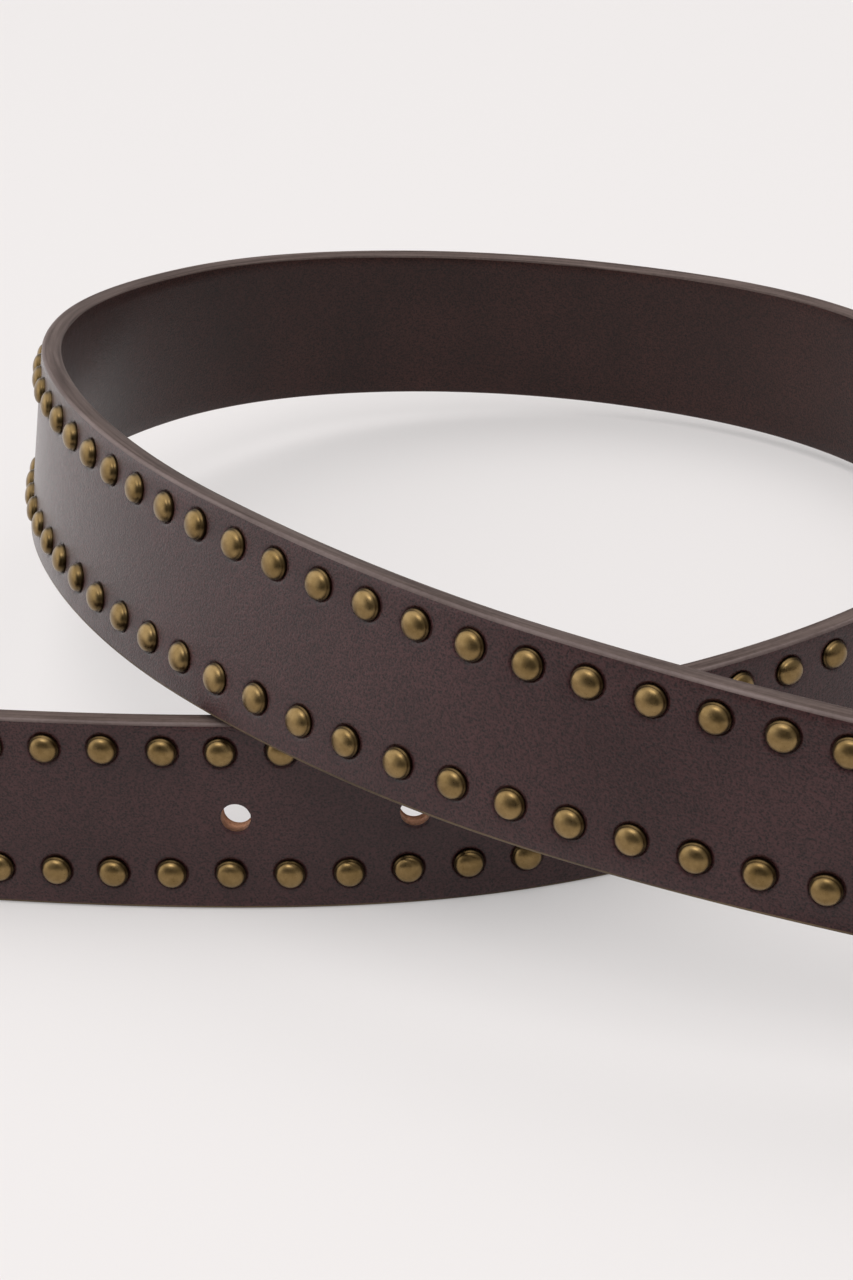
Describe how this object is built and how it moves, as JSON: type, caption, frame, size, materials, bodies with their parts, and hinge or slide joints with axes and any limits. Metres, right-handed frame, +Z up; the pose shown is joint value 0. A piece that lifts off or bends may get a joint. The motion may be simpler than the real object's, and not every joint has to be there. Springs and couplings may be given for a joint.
{
  "type": "studded belt",
  "caption": "Leather belt on its edge in a crossed loop, with domed studs along both edges, prong holes in the round-ended tail and a plain wire buckle.",
  "frame": {"origin": "on the ground under the middle of the whole belt", "axes": "+X along the tail, from its round end towards the buckle's side; +Y from the tail to the back of the loop; +Z up, across the strap"},
  "size_m": [0.4466, 0.2606, 0.0605],
  "materials": {
    "leather": "dark brown fine-grained leather, satin, with paler burnished edges",
    "brass": "antiqued brass, satin, darker towards the rim"
  },
  "bodies": {
    "root": {"studded_strap": "leather", "buckle": "brass"}
  },
  "joints": []
}
